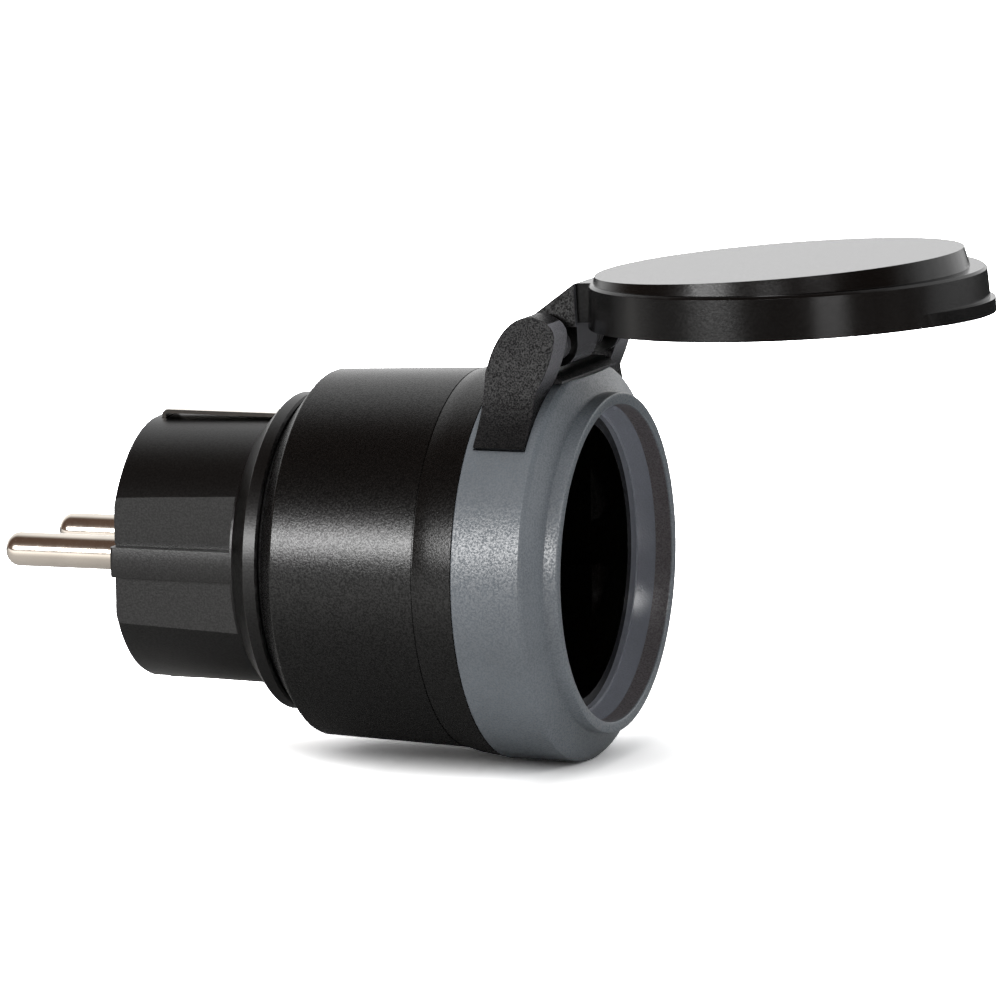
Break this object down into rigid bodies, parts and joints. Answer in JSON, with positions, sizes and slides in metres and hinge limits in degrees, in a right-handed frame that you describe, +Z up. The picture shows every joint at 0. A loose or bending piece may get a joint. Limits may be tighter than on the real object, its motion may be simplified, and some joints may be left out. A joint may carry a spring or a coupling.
{
  "type": "remote control plug",
  "caption": "Outdoor remote-controlled plug-in socket adaptor: earthed two-pin plug, round body with a wireless switching circuit, and a shuttered socket under a hinged, sealed lid.",
  "frame": {"origin": "centre of the plug's engagement face, midway between its two pins", "axes": "+X along the plug's axis from the pins towards the socket's mouth, +Y along the line of the pins and the lid hinge, +Z up through the hinge"},
  "size_m": [0.1421, 0.0554, 0.0725],
  "materials": {
    "black_plastic": "fine-textured black moulded thermoplastic",
    "glossy_black_plastic": "smooth black moulded thermoplastic",
    "grey_plastic": "fine-textured grey moulded thermoplastic",
    "lid_plastic": "fine-textured dark grey moulded thermoplastic",
    "rubber": "black sealing rubber",
    "pin_metal": "nickel-plated brass, polished",
    "contact_brass": "stamped brass",
    "spring_steel": "drawn spring steel wire",
    "steel": "zinc-plated steel",
    "shutter_plastic": "smooth dark moulded thermoplastic",
    "inner_plastic": "heat-resistant natural thermoplastic",
    "board": "green glass-fibre circuit board",
    "component_black": "moulded black component body",
    "component_blue": "epoxy-dipped blue component body",
    "component_yellow": "yellow film capacitor case",
    "component_can": "sleeved aluminium can",
    "wire_cover": "green and yellow insulated wire",
    "copper": "copper wire coil"
  },
  "bodies": {
    "chassis": {"plug_base": "black_plastic", "line_pin": "pin_metal", "neutral_pin": "pin_metal", "line_contact": "contact_brass", "neutral_contact": "contact_brass", "upper_earth_clip": "pin_metal", "lower_earth_clip": "pin_metal", "upper_earth_wire": "wire_cover", "lower_earth_wire": "wire_cover", "rear_seal": "rubber", "body_shell": "black_plastic", "body_gasket": "rubber", "front_ring": "grey_plastic", "socket_insert": "black_plastic", "shutter_spring": "spring_steel", "contact_carrier": "inner_plastic", "earth_bridge": "pin_metal", "circuit_board": "board", "relay": "component_black", "reservoir_capacitor": "component_can", "filter_capacitor": "component_yellow", "varistor": "component_blue", "fuse": "component_black", "controller_chip": "component_black", "receiver_module": "board", "receiver_antenna": "copper", "assembly_screws": "steel", "hinge_bracket": "glossy_black_plastic", "hinge_pin": "steel", "hinge_spring": "spring_steel"},
    "lid": {"lid": "lid_plastic", "lid_gasket": "rubber"},
    "shutter": {"contact_shutter": "shutter_plastic"}
  },
  "joints": [
    {"name": "lid_hinge", "type": "hinge", "parent": "chassis", "child": "lid", "pos_m": [0.06313, 0, 0.03142], "axis": [0, 1, 0], "range_deg": [-6, 92.17], "deforming": ["hinge_spring"]},
    {"name": "shutter_turn", "type": "hinge", "parent": "chassis", "child": "shutter", "pos_m": [0.0422, 0, 0], "axis": [-1, 0, 0], "range_deg": [0, 38], "stiffness_Nm_per_rad": 0.004, "springref_deg": -20.05, "deforming": ["shutter_spring"]}
  ]
}
